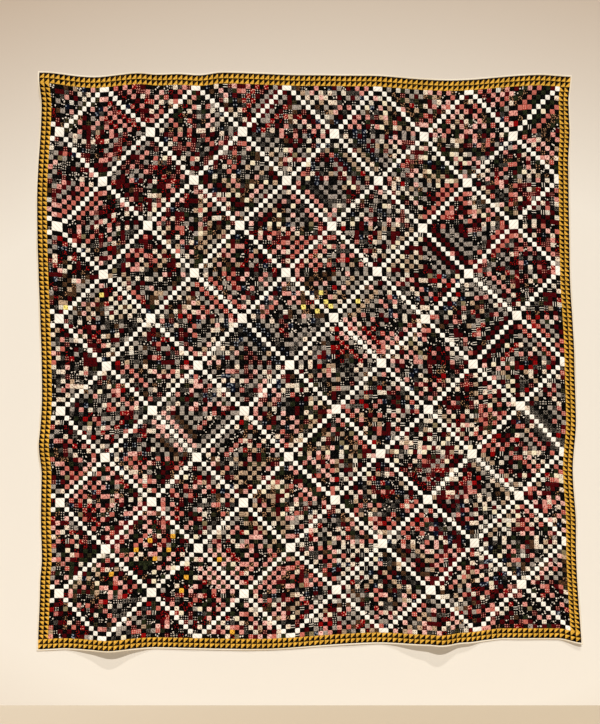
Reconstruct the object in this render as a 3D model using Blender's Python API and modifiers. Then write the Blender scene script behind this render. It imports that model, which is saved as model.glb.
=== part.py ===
"""A hanging patchwork quilt: pieced centre, four pieced border strips and a narrow binding.

Frame: metres, +X to the viewer's right, +Z up, and the front faces -Y. The origin is the middle of
the top edge, on the wall that the back of the quilt hangs against (the plane y = 0).

Every piece is laid out flat first, by its distance from the left edge (across) and from the top edge
(down), and one function, hang(), then carries each flat point to its place on the hanging quilt.
"""

import math

import bpy
import numpy as np

# Flat sizes: the finished patches, the border rows and the binding that shows on the front
PATCH = 0.01905
PATCHES_ACROSS = 112
PATCHES_DOWN = 120
SIDE_BORDER = 0.0406
END_BORDER = 0.0426
BINDING = 0.0065

SIDE_SEAM = BINDING + SIDE_BORDER
END_SEAM = BINDING + END_BORDER
WIDTH = 2 * SIDE_SEAM + PATCHES_ACROSS * PATCH
HEIGHT = 2 * END_SEAM + PATCHES_DOWN * PATCH

# Thickness: the three layers of the quilt, thinner where the binding grips them, and the binding cloth
QUILT_THICK = 0.0032
GRIPPED_THICK = 0.0018
BINDING_THICK = 0.0006

# Clearances between touching pieces
GAP = 0.0003
EDGE_INSET = 0.0015
GRIP = BINDING + 0.0005

# Section of the binding, from the inner edge of its front leg round to that of its back leg.
# Columns: distance in from the edge, share of the full rise off the middle layer, mitre clearance
BINDING_SECTION = (
    (BINDING, 1.00, 0.00015),
    (0.0013, 1.00, 0.00030),
    (0.5 * BINDING_THICK, 0.46, 0.00050),
    (0.5 * BINDING_THICK, -0.46, 0.00050),
    (0.0013, -1.00, 0.00030),
    (BINDING, -1.00, 0.00015),
)

# Mesh stations along the centre, shared by all the pieces so that their seams run side by side
CENTRE_COLUMNS = 56
CENTRE_ROWS = 34

# Uneven outline. Each row is a turning point of the edge, and the edge eases from one to the next.
# Columns: distance along the edge from the left, drop below the middle of the top edge
TOP_EDGE = (
    (0.020, -0.010),
    (0.235, 0.010),
    (0.420, -0.008),
    (0.500, -0.002),
    (0.585, -0.005),
    (0.670, 0.000),
    (0.770, -0.011),
    (1.120, 0.000),
    (1.360, 0.002),
    (1.715, 0.024),
    (2.090, -0.001),
    (2.228, 0.006),
)
# Columns: distance along the edge from the left, drop below the middle of the top edge
BOTTOM_EDGE = (
    (0.000, 2.395),
    (0.120, 2.390),
    (0.450, 2.386),
    (0.890, 2.393),
    (1.390, 2.366),
    (1.790, 2.360),
    (1.910, 2.349),
    (2.130, 2.349),
    (2.228, 2.364),
)
# Columns: distance down the edge from the top, place of the edge left (-) of the middle
LEFT_EDGE = (
    (0.000, -1.120),
    (0.130, -1.109),
    (0.500, -1.124),
    (1.340, -1.095),
    (1.510, -1.102),
    (1.650, -1.093),
    (1.820, -1.094),
    (2.000, -1.088),
    (2.100, -1.094),
    (2.384, -1.100),
)
# Columns: distance down the edge from the top, place of the edge right (+) of the middle
RIGHT_EDGE = (
    (0.000, 1.122),
    (0.110, 1.112),
    (0.230, 1.115),
    (0.370, 1.108),
    (0.780, 1.109),
    (1.180, 1.124),
    (1.430, 1.128),
    (1.650, 1.112),
    (1.880, 1.123),
    (1.980, 1.122),
    (2.384, 1.135),
)
# The top rows hang a little longer than the bottom rows, because they carry the weight
HANG_STRETCH = 0.05

# Folds that stand off the wall, as soft bells that add up.
# Columns: across and down of the crest, reach to the left, right, up and down of it, depth
FOLDS = (
    (0.300, 2.400, 0.190, 0.200, 1.050, 0.400, 0.030),
    (0.310, 2.400, 0.090, 0.085, 0.420, 0.300, 0.010),
    (1.625, 2.400, 0.235, 0.210, 1.150, 0.400, 0.036),
    (1.655, 2.400, 0.070, 0.080, 0.520, 0.300, 0.014),
    (1.770, 2.400, 0.060, 0.050, 0.300, 0.300, 0.006),
    (2.240, 2.400, 0.120, 0.100, 0.200, 0.200, 0.013),
    (0.000, 0.060, 0.100, 0.140, 0.080, 0.090, 0.011),
    (0.000, 1.530, 0.100, 0.170, 0.090, 0.110, 0.012),
    (0.640, 1.750, 0.210, 0.230, 1.100, 0.900, 0.005),
    (0.960, 1.450, 0.180, 0.170, 0.900, 1.100, 0.004),
    (1.270, 1.900, 0.170, 0.190, 1.200, 0.900, 0.006),
    (1.620, 0.950, 0.240, 0.200, 0.900, 1.000, 0.006),
    (2.000, 1.500, 0.180, 0.200, 1.100, 0.900, 0.005),
    (1.720, 0.060, 0.220, 0.240, 0.200, 0.350, 0.005),
    (0.240, 0.060, 0.150, 0.150, 0.200, 0.350, 0.004),
)

COLOURS = {
    "centre": (0.10, 0.045, 0.040, 1.0),
    "border": (0.36, 0.22, 0.055, 1.0),
    "binding": (0.80, 0.76, 0.68, 1.0),
}
CLOTH_ROUGHNESS = 0.9


def ease(rows, places):
    """Value at each place, eased with 3r^2 - 2r^3 between the turning points in rows."""
    stops, values = np.array(rows).T
    left = np.clip(np.searchsorted(stops, places) - 1, 0, len(stops) - 2)
    ratio = np.clip((places - stops[left]) / (stops[left + 1] - stops[left]), 0.0, 1.0)
    return values[left] + (values[left + 1] - values[left]) * ratio * ratio * (3 - 2 * ratio)


def bell(places, crest, before, after):
    """One at the crest, falling as cos^2 to zero at its reach before and after it."""
    reach = np.where(places < crest, before, after)
    ratio = np.clip(np.abs(places - crest) / reach, 0.0, 1.0)
    return np.cos(0.5 * math.pi * ratio) ** 2


def hang(across, down):
    """Middle layer of the hanging quilt at flat points: opposite edges blended, plus the folds."""
    share_across = across / WIDTH
    share_down = down / HEIGHT
    fallen = share_down + HANG_STRETCH * share_down * (1.0 - share_down)
    x = ease(LEFT_EDGE, down) * (1.0 - share_across) + ease(RIGHT_EDGE, down) * share_across
    drop = ease(TOP_EDGE, across) * (1.0 - fallen) + ease(BOTTOM_EDGE, across) * fallen
    depth = np.full_like(x, 0.5 * GRIPPED_THICK + GAP + BINDING_THICK)
    for crest_across, crest_down, to_left, to_right, up, below, height in FOLDS:
        ridge = bell(across, crest_across, to_left, to_right) * bell(down, crest_down, up, below)
        depth += height * ridge
    return np.stack((x, -depth, -drop), axis=-1)


def place(across, down, raised):
    """Point at a flat place, raised off the middle layer along its normal, towards the viewer."""
    step = 0.002
    along = hang(across + step, down) - hang(across - step, down)
    downward = hang(across, down + step) - hang(across, down - step)
    normal = np.cross(downward, along)
    normal /= np.linalg.norm(normal, axis=-1, keepdims=True)
    return hang(across, down) + raised[..., None] * normal


def cloth_material(name, colour):
    """Plain matt cotton in one colour."""
    material = bpy.data.materials.new(name)
    material.use_nodes = True
    shader = material.node_tree.nodes["Principled BSDF"]
    shader.inputs["Base Color"].default_value = colour
    shader.inputs["Roughness"].default_value = CLOTH_ROUGHNESS
    shader.inputs["Metallic"].default_value = 0.0
    return material


def cloth_piece(name, points, thickness, loft, colour, collection):
    """A sheet of cloth: a grid primitive moved to points[row, column], thickened by Solidify."""
    rows, columns = points.shape[:2]
    bpy.ops.mesh.primitive_grid_add(x_subdivisions=columns - 1, y_subdivisions=rows - 1, size=2.0)
    piece = bpy.context.active_object
    piece.name = name
    mesh = piece.data
    mesh.name = name
    flat = np.empty(len(mesh.vertices) * 3)
    mesh.vertices.foreach_get("co", flat)
    flat = flat.reshape(-1, 3)
    column = np.rint((flat[:, 0] + 1.0) * 0.5 * (columns - 1)).astype(int)
    row = np.rint((flat[:, 1] + 1.0) * 0.5 * (rows - 1)).astype(int)
    mesh.vertices.foreach_set("co", points[row, column].ravel())
    mesh.shade_smooth()
    mesh.update()
    mesh.materials.append(cloth_material(name, colour))

    group = piece.vertex_groups.new(name="loft")
    share = loft[row, column]
    for index, weight in enumerate(share.tolist()):
        group.add([index], weight, "REPLACE")
    solid = piece.modifiers.new("layers", "SOLIDIFY")
    solid.thickness = thickness
    solid.offset = 0.0
    solid.vertex_group = "loft"
    solid.thickness_vertex_group = 0.0

    for owner in piece.users_collection:
        owner.objects.unlink(piece)
    collection.objects.link(piece)
    return piece


def loft_of(across, down):
    """Share of the full thickness: thin where the binding grips the edge, full from the seams in."""
    inward = np.minimum.reduce((across, WIDTH - across, down, HEIGHT - down))
    thin = GRIPPED_THICK / QUILT_THICK
    return thin + (1.0 - thin) * np.clip((inward - GRIP) / (SIDE_SEAM - GRIP - GAP), 0.0, 1.0)


def layered_piece(name, across, down, colour, collection):
    """A piece of the quilt's three layers between the given flat stations."""
    grid_across, grid_down = np.meshgrid(across, down)
    points = place(grid_across, grid_down, np.zeros_like(grid_across))
    return cloth_piece(name, points, QUILT_THICK, loft_of(grid_across, grid_down), colour, collection)


def binding_piece(name, stations, far_end, to_flat, colour, collection):
    """Binding folded over one edge: its section is carried along the edge, with mitred ends."""
    inward, rise, clearance = np.array(BINDING_SECTION).T
    raised = rise * (0.5 * GRIPPED_THICK + GAP + 0.5 * BINDING_THICK)
    along, inset = np.meshgrid(stations, inward)
    mitre = inset + clearance[:, None]
    along = np.clip(along, mitre, far_end - mitre)
    across, down = to_flat(along, inset)
    points = place(across, down, np.repeat(raised[:, None], len(stations), axis=1))
    return cloth_piece(name, points, BINDING_THICK, np.ones_like(along), colour, collection)


def clear_scene():
    """Remove whatever the file opened with."""
    for thing in list(bpy.data.objects):
        bpy.data.objects.remove(thing, do_unlink=True)


def end_stations(seam, far_end, stations):
    """Stations of a piece that runs over both corners, past the seams of the centre."""
    corner = np.array((EDGE_INSET, GRIP, seam))
    return np.concatenate((corner, stations[1:-1], far_end - corner[::-1]))


def build_quilt():
    """Centre, four border strips and four lengths of binding."""
    collection = bpy.data.collections.new("quilt")
    bpy.context.scene.collection.children.link(collection)
    half_gap = 0.5 * GAP

    columns = np.linspace(SIDE_SEAM, WIDTH - SIDE_SEAM, CENTRE_COLUMNS + 1)
    rows = np.linspace(END_SEAM, HEIGHT - END_SEAM, CENTRE_ROWS + 1)
    inner_columns = np.clip(columns, SIDE_SEAM + half_gap, WIDTH - SIDE_SEAM - half_gap)
    inner_rows = np.clip(rows, END_SEAM + half_gap, HEIGHT - END_SEAM - half_gap)
    layered_piece("quilt_centre", inner_columns, inner_rows, COLOURS["centre"], collection)

    all_columns = end_stations(SIDE_SEAM, WIDTH, columns)
    end_depth = np.array((EDGE_INSET, GRIP, END_SEAM - half_gap))
    side_depth = np.array((EDGE_INSET, GRIP, SIDE_SEAM - half_gap))
    strips = (
        ("border_top", all_columns, end_depth),
        ("border_bottom", all_columns, HEIGHT - end_depth[::-1]),
        ("border_left", side_depth, inner_rows),
        ("border_right", WIDTH - side_depth[::-1], inner_rows),
    )
    for name, across, down in strips:
        layered_piece(name, across, down, COLOURS["border"], collection)

    edge_columns = end_stations(SIDE_SEAM, WIDTH, columns)
    edge_columns[0] = 0.0
    edge_columns[-1] = WIDTH
    edge_rows = end_stations(END_SEAM, HEIGHT, rows)
    edge_rows[0] = 0.0
    edge_rows[-1] = HEIGHT
    edges = (
        ("binding_top", edge_columns, WIDTH, lambda along, inset: (along, inset)),
        ("binding_bottom", edge_columns, WIDTH, lambda along, inset: (along, HEIGHT - inset)),
        ("binding_left", edge_rows, HEIGHT, lambda along, inset: (inset, along)),
        ("binding_right", edge_rows, HEIGHT, lambda along, inset: (WIDTH - inset, along)),
    )
    for name, stations, far_end, to_flat in edges:
        binding_piece(name, stations, far_end, to_flat, COLOURS["binding"], collection)


clear_scene()
build_quilt()
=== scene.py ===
"""Looks of the hanging patchwork quilt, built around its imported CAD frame.

Frame: metres, +X to the viewer's right, +Z up, the front faces -Y, and the origin is the middle of the
top edge on the plane of the wall. Everything is laid out flat first, by its distance from the left edge
(across) and from the top edge (down), and place() carries each flat point to the hanging quilt.
"""

import math

import bpy
import numpy as np
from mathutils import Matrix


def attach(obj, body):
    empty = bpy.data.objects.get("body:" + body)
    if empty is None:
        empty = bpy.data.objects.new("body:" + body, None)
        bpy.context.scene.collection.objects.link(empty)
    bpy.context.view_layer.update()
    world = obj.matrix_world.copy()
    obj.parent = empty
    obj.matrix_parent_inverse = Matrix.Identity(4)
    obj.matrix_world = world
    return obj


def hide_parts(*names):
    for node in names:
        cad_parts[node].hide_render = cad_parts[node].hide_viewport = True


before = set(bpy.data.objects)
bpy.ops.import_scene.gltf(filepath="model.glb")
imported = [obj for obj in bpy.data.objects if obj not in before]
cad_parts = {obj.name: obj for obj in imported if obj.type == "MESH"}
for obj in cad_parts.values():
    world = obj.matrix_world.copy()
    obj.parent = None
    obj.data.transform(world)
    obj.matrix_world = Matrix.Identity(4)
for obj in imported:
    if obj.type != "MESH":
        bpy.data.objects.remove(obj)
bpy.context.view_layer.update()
chance = np.random.default_rng(1880)

# Flat sizes, as in the part: finished patches, border rows and the binding that shows on the front
PATCH = 0.01905
PATCHES_ACROSS = 112
PATCHES_DOWN = 120
SIDE_BORDER = 0.0406
END_BORDER = 0.0426
BINDING = 0.0065
SIDE_SEAM = BINDING + SIDE_BORDER
END_SEAM = BINDING + END_BORDER
WIDTH = 2 * SIDE_SEAM + PATCHES_ACROSS * PATCH
HEIGHT = 2 * END_SEAM + PATCHES_DOWN * PATCH

# Heights off the middle layer of the quilt, towards the viewer
GRIPPED_RISE = 0.0009
SEAM_RISE = 0.0010
PUFF = 0.0008
PUFF_SPREAD = 0.0002
TOP_CLOTH_BACK = -0.0004
BACKING_FRONT = -0.0005
BACKING_RISE = -0.0016
BINDING_CLOTH = 0.0006
CLEARANCE = 0.0003
EDGE_INSET = 0.0015

# Patches along a side of a block, patches left of the first whole block, and how far apart the numbers of
# blocks in two rows are, and those of large squares in two columns
BLOCK = 10
BLOCK_START = 2
BLOCKS_A_ROW = 12
LARGE_A_COLUMN = 100
# Patches across and down one panel of the centre
PANEL = (28, 20)
# How far in from the binding the front and the back are flattened by its grip
FRONT_GRIP = 0.006
BACK_GRIP = 0.04
# From one hand stitch of the binding to the next
STITCH = 0.0096
# Colours of the quilting thread on the prints and on the backing
DARK_THREAD = (0.08, 0.065, 0.055, 1.0)
PALE_THREAD = (0.80, 0.76, 0.67, 1.0)

# Uneven outline of the hanging quilt, as in the part.
# Columns: distance along the edge from the left, drop below the middle of the top edge
TOP_EDGE = (
    (0.020, -0.010),
    (0.235, 0.010),
    (0.420, -0.008),
    (0.500, -0.002),
    (0.585, -0.005),
    (0.670, 0.000),
    (0.770, -0.011),
    (1.120, 0.000),
    (1.360, 0.002),
    (1.715, 0.024),
    (2.090, -0.001),
    (2.228, 0.006),
)
BOTTOM_EDGE = (
    (0.000, 2.395),
    (0.120, 2.390),
    (0.450, 2.386),
    (0.890, 2.393),
    (1.390, 2.366),
    (1.790, 2.360),
    (1.910, 2.349),
    (2.130, 2.349),
    (2.228, 2.364),
)
# Columns: distance down the edge from the top, place of the edge right of the middle
LEFT_EDGE = (
    (0.000, -1.120),
    (0.130, -1.109),
    (0.500, -1.124),
    (1.340, -1.095),
    (1.510, -1.102),
    (1.650, -1.093),
    (1.820, -1.094),
    (2.000, -1.088),
    (2.100, -1.094),
    (2.384, -1.100),
)
RIGHT_EDGE = (
    (0.000, 1.122),
    (0.110, 1.112),
    (0.230, 1.115),
    (0.370, 1.108),
    (0.780, 1.109),
    (1.180, 1.124),
    (1.430, 1.128),
    (1.650, 1.112),
    (1.880, 1.123),
    (1.980, 1.122),
    (2.384, 1.135),
)
HANG_STRETCH = 0.05

# Folds that stand off the wall, as in the part.
# Columns: across and down of the crest, reach to the left, right, up and down of it, depth
FOLDS = (
    (0.300, 2.400, 0.190, 0.200, 1.050, 0.400, 0.030),
    (0.310, 2.400, 0.090, 0.085, 0.420, 0.300, 0.010),
    (1.625, 2.400, 0.235, 0.210, 1.150, 0.400, 0.036),
    (1.655, 2.400, 0.070, 0.080, 0.520, 0.300, 0.014),
    (1.770, 2.400, 0.060, 0.050, 0.300, 0.300, 0.006),
    (2.240, 2.400, 0.120, 0.100, 0.200, 0.200, 0.013),
    (0.000, 0.060, 0.100, 0.140, 0.080, 0.090, 0.011),
    (0.000, 1.530, 0.100, 0.170, 0.090, 0.110, 0.012),
    (0.640, 1.750, 0.210, 0.230, 1.100, 0.900, 0.005),
    (0.960, 1.450, 0.180, 0.170, 0.900, 1.100, 0.004),
    (1.270, 1.900, 0.170, 0.190, 1.200, 0.900, 0.006),
    (1.620, 0.950, 0.240, 0.200, 0.900, 1.000, 0.006),
    (2.000, 1.500, 0.180, 0.200, 1.100, 0.900, 0.005),
    (1.720, 0.060, 0.220, 0.240, 0.200, 0.350, 0.005),
    (0.240, 0.060, 0.150, 0.150, 0.200, 0.350, 0.004),
)
# Soft ripples of the cloth, all off the wall.
# Columns: waves a metre across, waves a metre down, start of the wave, share of the height
RIPPLES = (
    (4.3, 1.1, 0.4, 0.40),
    (-2.1, 5.7, 2.1, 0.30),
    (8.9, -6.3, 4.0, 0.18),
    (6.1, 11.7, 1.3, 0.12),
)
RIPPLE_HEIGHT = 0.0016

# Where the seams of the centre have crept sideways or sagged.
# Columns: across and down of the crest, reach to the left, right, up and down of it, creep right, sag
CREEPS = (
    (1.300, 0.350, 0.900, 0.500, 0.330, 0.500, 0.012, 0.006),
    (0.350, 0.120, 0.250, 0.300, 0.100, 0.150, -0.012, 0.003),
    (0.120, 0.620, 0.100, 0.300, 0.300, 0.300, 0.010, 0.008),
    (1.970, 0.240, 0.400, 0.200, 0.150, 0.250, -0.005, 0.015),
)
SEAM_JITTER = 0.0005

# Mesh stations across a patch, as shares of it, and how far the cloth has risen at each
SHARES = np.array((0.0, 0.13, 0.5, 0.87))
SWELL = np.array((0.0, 0.72, 1.0, 0.72))
STEPS = len(SHARES)

# Prints: how each is named in the table of fabrics, and its number in the material
PRINTS = {"plain": 0, "dots": 1, "sprigs": 2, "stripes": 3, "checks": 4, "vine": 5, "rings": 6}

# Fabrics of the patches.
# Columns: group, colour of the ground, colour of the figure, print, spacing of the figure in mm
FABRICS = {
    "muslin": ("chain", (242, 236, 228), (226, 214, 196), "plain", 6.0),
    "cream twill": ("light", (231, 220, 195), (190, 170, 136), "vine", 6.0),
    "white shirting stripe": ("light", (232, 225, 213), (52, 38, 44), "stripes", 7.0),
    "shirting dot": ("light", (225, 213, 196), (52, 38, 46), "dots", 8.0),
    "shirting sprig": ("light", (228, 212, 192), (116, 46, 48), "sprigs", 8.5),
    "pale pink sprig": ("light", (226, 178, 168), (148, 58, 62), "sprigs", 9.5),
    "rose stripe": ("light", (212, 156, 146), (116, 48, 48), "stripes", 7.0),
    "salmon vine": ("light", (194, 110, 98), (96, 14, 18), "vine", 9.0),
    "double pink": ("light", (210, 144, 134), (118, 26, 34), "sprigs", 8.5),
    "coral dot": ("light", (166, 66, 58), (232, 190, 172), "dots", 8.0),
    "red calico": ("light", (124, 6, 10), (226, 168, 148), "sprigs", 9.5),
    "bright red": ("light", (138, 8, 10), (34, 3, 5), "dots", 8.0),
    "red check": ("light", (146, 26, 26), (234, 204, 188), "checks", 7.0),
    "tan sprig": ("light", (184, 156, 130), (62, 38, 28), "sprigs", 8.5),
    "tan stripe": ("light", (176, 150, 126), (54, 36, 28), "stripes", 8.0),
    "olive tan": ("light", (136, 122, 92), (36, 30, 20), "vine", 8.5),
    "grey check": ("light", (168, 157, 147), (46, 42, 42), "checks", 7.5),
    "grey sprig": ("light", (156, 145, 137), (26, 24, 28), "sprigs", 7.0),
    "grey ring": ("light", (132, 121, 116), (212, 203, 192), "rings", 9.0),
    "butter": ("light", (238, 220, 122), (120, 104, 36), "sprigs", 10.0),
    "golden": ("light", (226, 168, 58), (140, 86, 18), "sprigs", 9.0),
    "black white dot": ("dark", (3, 2, 2), (204, 192, 180), "dots", 9.5),
    "black white sprig": ("dark", (3, 2, 2), (222, 210, 198), "sprigs", 13.0),
    "black white stripe": ("dark", (3, 2, 2), (232, 222, 210), "stripes", 9.5),
    "black ring": ("dark", (3, 2, 2), (150, 140, 130), "rings", 12.0),
    "black grey vine": ("dark", (3, 2, 2), (130, 122, 114), "vine", 11.0),
    "black plain": ("dark", (3, 3, 3), (18, 16, 17), "sprigs", 9.0),
    "brown tan sprig": ("dark", (22, 12, 8), (186, 142, 106), "sprigs", 8.0),
    "brown vine": ("dark", (28, 16, 10), (138, 98, 68), "vine", 7.0),
    "maroon dot": ("dark", (58, 3, 7), (208, 138, 124), "dots", 9.0),
    "maroon sprig": ("dark", (68, 4, 8), (8, 2, 3), "sprigs", 7.0),
    "wine black stripe": ("dark", (78, 6, 11), (5, 2, 3), "stripes", 7.0),
    "red on black": ("dark", (8, 4, 5), (158, 16, 14), "sprigs", 8.0),
    "navy dot": ("dark", (4, 6, 15), (142, 146, 154), "dots", 12.0),
    "indigo sprig": ("dark", (8, 14, 30), (134, 142, 154), "sprigs", 14.0),
    "bottle green": ("dark", (8, 14, 7), (70, 74, 46), "vine", 9.0),
    "green check": ("dark", (13, 15, 8), (84, 76, 50), "checks", 9.5),
}

# Scrap boxes: the fabrics that a block of ten by ten patches is mostly cut from, light and dark, and
# the share of light fabrics among the strays of its even runs. Plain black goes with every box
SCRAPS = {
    "wine": (
        ("red calico", "salmon vine", "double pink", "grey sprig", "shirting sprig", "shirting dot"),
        ("maroon sprig", "maroon dot", "red on black", "black white sprig", "black white dot"),
        0.30,
    ),
    "salmon": (
        ("salmon vine", "double pink", "coral dot", "pale pink sprig", "shirting sprig"),
        ("bottle green", "black white sprig", "wine black stripe", "brown tan sprig"),
        0.60,
    ),
    "red": (
        ("bright red", "shirting dot", "red check", "shirting sprig", "grey check"),
        ("black white sprig", "black grey vine", "black ring", "black white dot"),
        0.54,
    ),
    "rose": (
        ("pale pink sprig", "shirting sprig", "grey check", "shirting dot", "tan sprig"),
        ("black white dot", "black grey vine", "brown vine", "maroon sprig"),
        0.64,
    ),
    "candy": (
        ("pale pink sprig", "rose stripe", "butter", "butter", "grey sprig", "grey check", "tan sprig"),
        ("brown tan sprig", "black white dot", "brown vine"),
        0.64,
    ),
    "cream": (
        ("cream twill", "white shirting stripe", "shirting dot", "shirting sprig", "tan stripe"),
        ("black white stripe", "maroon sprig", "wine black stripe", "black white dot"),
        0.68,
    ),
    "grey": (
        ("grey check", "grey sprig", "pale pink sprig", "shirting sprig", "shirting dot"),
        ("black white dot", "black grey vine", "maroon dot", "navy dot"),
        0.62,
    ),
    "tan": (
        ("tan sprig", "tan stripe", "cream twill", "rose stripe", "shirting dot"),
        ("brown tan sprig", "green check", "bottle green", "maroon sprig"),
        0.56,
    ),
    "gold": (
        ("golden", "cream twill", "double pink", "red calico", "pale pink sprig", "shirting sprig"),
        ("black white sprig", "red on black", "bottle green"),
        0.64,
    ),
    "night": (
        ("grey sprig", "shirting sprig", "shirting dot", "double pink"),
        ("black grey vine", "indigo sprig", "maroon sprig", "black white sprig"),
        0.42,
    ),
}
EVERYWHERE = {
    "wine": 1.2, "salmon": 0.7, "red": 0.7, "rose": 0.9, "candy": 0.06, "cream": 0.60,
    "grey": 0.7, "tan": 0.4, "gold": 0.06, "night": 0.7,
}
# Where a scrap box was used more: across and down of the place, its reach, the box, how much more
LEANINGS = (
    (0.20, 0.15, 0.40, "wine", 12.0),
    (0.75, 0.15, 0.30, "wine", 3.0),
    (1.02, 0.70, 0.26, "candy", 12.0),
    (0.30, 0.45, 0.35, "wine", 3.0),
    (1.00, 0.20, 0.30, "rose", 3.0),
    (1.25, 0.55, 0.35, "rose", 3.0),
    (1.25, 0.15, 0.35, "tan", 3.0),
    (1.50, 0.35, 0.30, "grey", 3.0),
    (1.48, 0.62, 0.30, "cream", 5.0),
    (1.90, 0.17, 0.16, "salmon", 30.0),
    (2.09, 0.68, 0.22, "wine", 8.0),
    (0.46, 0.90, 0.24, "rose", 12.0),
    (0.60, 0.95, 0.40, "salmon", 3.0),
    (0.20, 1.20, 0.35, "red", 4.0),
    (1.20, 1.15, 0.30, "red", 5.0),
    (1.75, 1.10, 0.35, "red", 3.0),
    (0.90, 1.35, 0.30, "grey", 2.0),
    (0.15, 1.70, 0.35, "wine", 3.0),
    (0.19, 1.86, 0.20, "salmon", 10.0),
    (0.39, 1.68, 0.20, "salmon", 5.0),
    (0.50, 2.05, 0.16, "gold", 30.0),
    (0.25, 2.20, 0.30, "night", 4.0),
    (0.75, 2.20, 0.30, "salmon", 4.0),
    (1.10, 1.80, 0.35, "tan", 2.0),
    (1.84, 1.60, 0.26, "cream", 16.0),
    (1.94, 1.98, 0.22, "salmon", 5.0),
    (1.60, 1.98, 0.25, "rose", 3.0),
    (1.72, 1.47, 0.20, "salmon", 10.0),
    (2.10, 2.15, 0.22, "wine", 16.0),
    (1.60, 2.20, 0.30, "rose", 5.0),
)
# Fabrics that only come from their own scrap boxes
SCARCE = ("butter", "golden")
# Fabrics that come a patch here and there and never fill a run: the scarce ones, the palest, which
# would widen the pale diagonals, and the brightest red
SINGLE = (*SCARCE, "cream twill", "white shirting stripe", "shirting dot", "shirting sprig", "bright red")
# Share of the strays in odd runs that are light, share of the even runs that are light, and share of
# the strays that come from the block's own scrap boxes
LIGHT_ON_DARK = 0.06
LIGHT_RUNS = 0.70
FROM_BOX = 0.80
# Pieces of plain black in a scrap box for each dark print there
BLACKS_A_PRINT = 2
# Least and most of a block's patches that keep the fabric of their run, and how rare the orderly are
ORDERLY = (0.12, 0.85)
ORDERLY_RARE = 4

# Fabrics of the border
BORDER_FABRICS = {
    "mustard print": ("border", (220, 169, 66), (168, 120, 38), "sprigs", 6.0),
    "black print": ("border", (4, 3, 3), (70, 48, 24), "sprigs", 11.0),
}


def ease(rows, places):
    """Value at each place, eased with 3r^2 - 2r^3 between the turning points in rows."""
    stops, values = np.array(rows).T
    left = np.clip(np.searchsorted(stops, places) - 1, 0, len(stops) - 2)
    ratio = np.clip((places - stops[left]) / (stops[left + 1] - stops[left]), 0.0, 1.0)
    return values[left] + (values[left + 1] - values[left]) * ratio * ratio * (3 - 2 * ratio)


def bell(places, crest, before, after):
    """One at the crest, falling as cos^2 to zero at its reach before and after it."""
    reach = np.where(places < crest, before, after)
    ratio = np.clip(np.abs(places - crest) / reach, 0.0, 1.0)
    return np.cos(0.5 * math.pi * ratio) ** 2


def hang(across, down):
    """Middle layer of the hanging quilt at flat points: opposite edges blended, plus folds and ripples."""
    share_across = across / WIDTH
    share_down = down / HEIGHT
    fallen = share_down + HANG_STRETCH * share_down * (1.0 - share_down)
    x = ease(LEFT_EDGE, down) * (1.0 - share_across) + ease(RIGHT_EDGE, down) * share_across
    drop = ease(TOP_EDGE, across) * (1.0 - fallen) + ease(BOTTOM_EDGE, across) * fallen
    depth = np.full_like(x, GRIPPED_RISE + CLEARANCE + BINDING_CLOTH)
    for crest_across, crest_down, to_left, to_right, up, below, height in FOLDS:
        ridge = bell(across, crest_across, to_left, to_right) * bell(down, crest_down, up, below)
        depth += height * ridge
    for waves_across, waves_down, start, share in RIPPLES:
        turn = 2 * math.pi * (waves_across * across + waves_down * down) + start
        depth += RIPPLE_HEIGHT * share * 0.5 * (1.0 + np.sin(turn))
    return np.stack((x, -depth, -drop), axis=-1)


def place(across, down, raised):
    """Point at a flat place, raised off the middle layer along its normal, towards the viewer."""
    step = 0.002
    along = hang(across + step, down) - hang(across - step, down)
    downward = hang(across, down + step) - hang(across, down - step)
    normal = np.cross(downward, along)
    normal /= np.linalg.norm(normal, axis=-1, keepdims=True)
    return hang(across, down) + raised[..., None] * normal


def inward_of(across, down):
    """Distance of a flat point in from the nearest edge of the quilt."""
    return np.minimum.reduce((across, WIDTH - across, down, HEIGHT - down))


def top_height(across, down, swell):
    """Front of the pieced cloth: flat in the binding's grip, then the seam height plus the puff."""
    free = np.clip((inward_of(across, down) - BINDING) / FRONT_GRIP, 0.0, 1.0)
    return GRIPPED_RISE + free * (SEAM_RISE - GRIPPED_RISE + swell)


def linear(colour):
    """Linear light, from a colour as a screen shows it in steps of 0 to 255."""
    shown = np.asarray(colour, float) / 255.0
    return np.where(shown <= 0.04045, shown / 12.92, ((shown + 0.055) / 1.055) ** 2.4)


# Meshes
def mesh_of(name, points, groups):
    """Mesh from points and groups of faces, each group one array with a row of point numbers a face."""
    corners = np.concatenate([group.ravel() for group in groups]).astype(np.int32)
    sizes = np.concatenate([np.full(len(group), group.shape[1]) for group in groups])
    starts = np.concatenate(([0], np.cumsum(sizes)[:-1])).astype(np.int32)
    mesh = bpy.data.meshes.new(name)
    mesh.vertices.add(len(points))
    mesh.vertices.foreach_set("co", np.ascontiguousarray(points, np.float32).ravel())
    mesh.loops.add(len(corners))
    mesh.loops.foreach_set("vertex_index", corners)
    mesh.polygons.add(len(sizes))
    mesh.polygons.foreach_set("loop_start", starts)
    mesh.update(calc_edges=True)
    return mesh, corners, sizes


def cells_of(number, slant):
    """Faces of a grid of point numbers, facing the viewer: squares, or triangles cut along the slant."""
    upper_left, upper_right = number[:-1, :-1], number[:-1, 1:]
    lower_left, lower_right = number[1:, :-1], number[1:, 1:]
    if slant == "none":
        return np.stack((upper_left, lower_left, lower_right, upper_right), -1).reshape(-1, 4)
    if slant == "rising":
        halves = ((upper_left, lower_left, upper_right), (upper_right, lower_left, lower_right))
    else:
        halves = ((upper_left, lower_left, lower_right), (upper_left, lower_right, upper_right))
    return np.stack([np.stack(half, -1) for half in halves], -2).reshape(-1, 3)


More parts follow.
